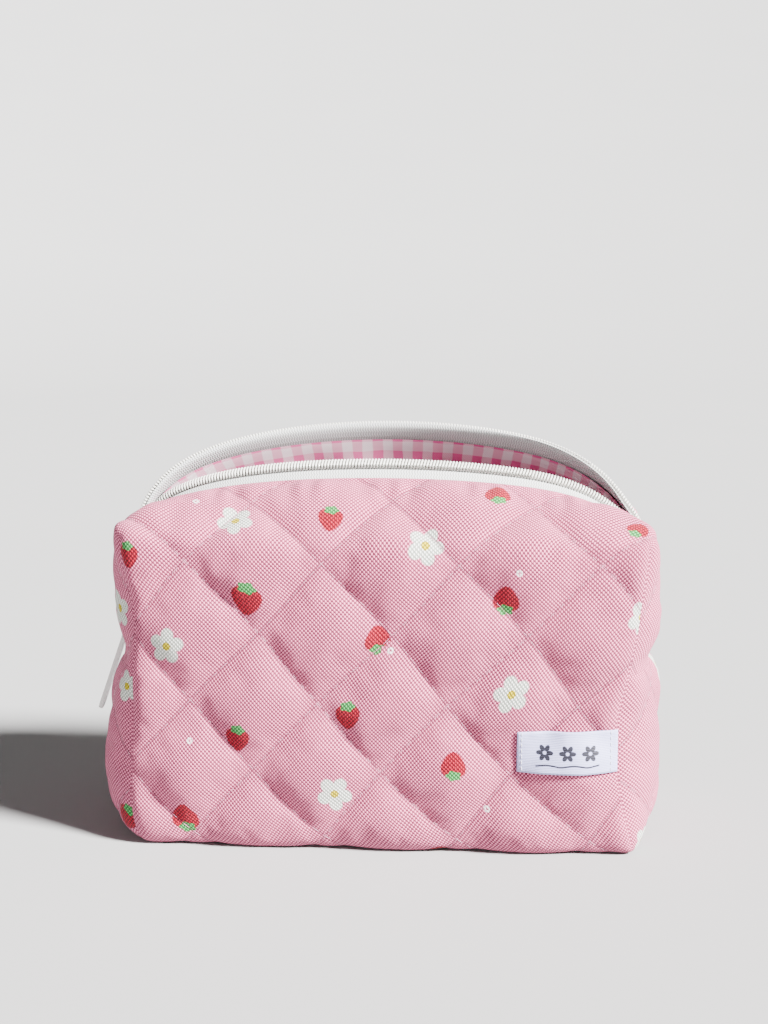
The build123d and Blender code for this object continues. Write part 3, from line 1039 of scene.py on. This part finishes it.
def label_pieces():
    """The label, bowed a little between its two short sides, and the stitches that sew those down."""
    low, high = (np.array(c) * 1000 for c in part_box("side_label"))
    nx, nz = 44, 18
    xs, zs = np.linspace(low[0], high[0], nx + 1), np.linspace(low[2], high[2], nz + 1)
    front = []
    for z in zs:
        for x in xs:
            y = canvas_at(BASE, *front_face_at(x, z))[1]
            t, h = (x - low[0]) / (high[0] - low[0]), (z - low[2]) / (high[2] - low[2])
            bow = 0.9 * math.sin(math.pi * t) ** 0.6 + 0.25 * math.sin(9 * t + 3 * h)
            front.append((x, y, z, bow))
    front = np.array(front).reshape(nz + 1, nx + 1, 4)
    y = front[..., 1]
    for _ in range(14):  # the label spans the cloth's dips rather than lining them
        inner = (y[1:-1, :-2] + y[1:-1, 2:] + y[:-2, 1:-1] + y[2:, 1:-1]) / 4
        y[1:-1, 1:-1] = np.minimum(inner, y[1:-1, 1:-1])
        y[0, 1:-1], y[-1, 1:-1] = y[1, 1:-1], y[-2, 1:-1]
    outer = np.stack([front[..., 0], y - LABEL_PROUD - front[..., 3], front[..., 2]], -1)
    inner = outer + (0, LABEL_THICK, 0)
    grid = (nz + 1) * (nx + 1)
    points = np.concatenate([outer.reshape(-1, 3), inner.reshape(-1, 3)])
    middle = (low + high) / 2
    uv_of = [(p[0] - middle[0], p[2] - middle[2]) for p in points]
    faces = []
    for i in range(nz):
        for j in range(nx):
            a, d = i * (nx + 1) + j, (i + 1) * (nx + 1) + j
            b, c = a + 1, d + 1
            faces += [[a, b, c, d], [grid + d, grid + c, grid + b, grid + a]]
    loop = [(0, j) for j in range(nx)] + [(i, nx) for i in range(nz)]
    loop += [(nz, j) for j in range(nx, 0, -1)] + [(i, 0) for i in range(nz, 0, -1)]
    loop = [i * (nx + 1) + j for i, j in loop]
    for a, b in zip(loop, loop[1:] + loop[:1]):
        faces.append([b, a, grid + a, grid + b])
    uv = [uv_of[i] for f in faces for i in f]
    cloth = make_piece("side_label_cloth", points, faces, SATIN, {"cloth": uv})
    stitches = [line for j in (2, nx - 3) for line in label_stitch_lines(outer[:, j])]
    return cloth, many_tubes("side_label_stitches", stitches, 0.17, 6, WHITE_THREAD)


def label_stitch_lines(column):
    """Stitches up one column of the label's outer points, each an arch that stands a little proud."""
    stitch, pitch, arch = 1.9, 2.6, 0.16  # the first two in steps of the column
    last = len(column) - 1
    lines = []
    for start in np.arange(0.6, last - 1.2, pitch):
        line = []
        for along in np.linspace(0, stitch, 5):
            i = int(start + along)
            share = start + along - i
            if i < last:
                place = column[i] * (1 - share) + column[i + 1] * share
                line.append(place - (0, arch * math.sin(math.pi * along / stitch), 0))
        if len(line) > 2:
            lines.append(np.array(line))
    return lines


label, label_stitches = label_pieces()


# The CAD nodes that the meshes replace are hidden, the label moves with the bag, and the zip's slider and tab
# get the enamel

def nodes_named(start):
    """The CAD nodes whose names start so."""
    return [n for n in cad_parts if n.startswith(start)]


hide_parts("canvas_front", "canvas_front_top", "wadding_front", "wadding_front_top")
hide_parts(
    "canvas_rear", "canvas_rear_top", "canvas_bottom", "canvas_left_end", "canvas_right_end",
    "wadding_rear", "wadding_rear_top", "wadding_bottom", "wadding_left_end", "wadding_right_end",
)
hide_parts("lining_front", "lining_front_top")
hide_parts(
    "lining_rear", "lining_rear_top", "lining_bottom", "lining_left_end", "lining_right_end"
)
for side, word in WORD.items():
    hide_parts(*nodes_named(f"zip_tape_{word}"))
    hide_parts(*nodes_named(f"zip_coil_{word}"))
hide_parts("side_label")

for side, things in (
    (-1, (front_cover, front_stitches)),
    (1, (rear_cover, rear_stitches)),
):
    for thing in (*things, tapes[side], coils[side]):
        blend_top(thing)
blend_top(front_lining)
blend_top(rear_lining)
for thing in (label, label_stitches):
    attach(thing, "bag")

for name in ("zip_slider_body", "zip_slider_cap", "zip_pull_tab"):
    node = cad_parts[name]
    node.data.materials.clear()
    node.data.materials.append(ENAMEL)


# Floor, lights and camera

def stage_setup():
    """The lights, and a flat floor that rises gently far away, to fill the view in every direction."""
    floor_mesh = bpy.data.meshes.new("floor")
    sides = 96
    slope = np.radians(np.linspace(0, 18, 14))
    curve = zip(2.0 + 4.0 * np.sin(slope), 4.0 - 4.0 * np.cos(slope))
    profile = np.array([(0.01, 0.0), *curve, (40.0, 12.4)])
    around = np.linspace(0, 2 * math.pi, sides + 1)[:-1]
    ring = np.stack([np.cos(around), np.sin(around)], 1)
    points = [(*(r * c), z) for r, z in profile for c in ring]
    faces = [
        (i * sides + k, i * sides + (k + 1) % sides, (i + 1) * sides + (k + 1) % sides, (i + 1) * sides + k)
        for i in range(len(profile) - 1) for k in range(sides)
    ]
    floor_mesh.from_pydata(points, [], [tuple(range(sides))[::-1], *[f[::-1] for f in faces]])
    floor_mesh.polygons.foreach_set("use_smooth", [True] * len(floor_mesh.polygons))
    floor = bpy.data.objects.new("floor", floor_mesh)
    bpy.context.collection.objects.link(floor)
    g = Graph("floor")
    vector = g.node("ShaderNodeTexCoord").outputs["Object"]
    floor_mesh.materials.append(
        g.finish(g.mix(g.noise(vector, 3.0), (0.28, 0.28, 0.285), (0.295, 0.295, 0.295)), 0.9)
    )
    world = bpy.data.worlds.new("studio")
    bpy.context.scene.world = world
    world.use_nodes = True
    back = world.node_tree.nodes["Background"]
    back.inputs["Color"].default_value = (1.0, 0.985, 0.99, 1)
    back.inputs["Strength"].default_value = 0.11

    data = bpy.data.lights.new("key", "SUN")
    data.energy, data.angle, data.color = 39.0, math.radians(12), (1.0, 0.985, 0.965)
    key = bpy.data.objects.new("key", data)
    key.rotation_euler = Vector((1.0, -0.5, 0.85)).to_track_quat("Z", "Y").to_euler()
    bpy.context.collection.objects.link(key)


def camera_setup():
    """The camera, at the photo's viewing angle. focal is for a frame 1024 high."""
    rise, turn = math.radians(13.0), math.radians(4.3)
    away, focal = 0.75, 1795.0
    aim = Vector((0.0, -0.052, 0.0954))
    out = Vector((math.sin(turn) * math.cos(rise), -math.cos(turn) * math.cos(rise), math.sin(rise)))
    data = bpy.data.cameras.new("camera")
    data.sensor_fit, data.sensor_height = "VERTICAL", 24.0
    data.lens = data.sensor_height * focal / 1024
    camera = bpy.data.objects.new("camera", data)
    camera.location = aim + out * away
    look = (-out).to_track_quat("-Z", "Y")
    lift = math.atan(121 / focal)  # the object sits below the middle of the frame
    side = math.atan(-4 / focal)
    camera.rotation_mode = "QUATERNION"
    camera.rotation_quaternion = look @ Quaternion((1, 0, 0), lift) @ Quaternion((0, 1, 0), side)
    bpy.context.collection.objects.link(camera)
    bpy.context.scene.camera = camera


stage_setup()
camera_setup()
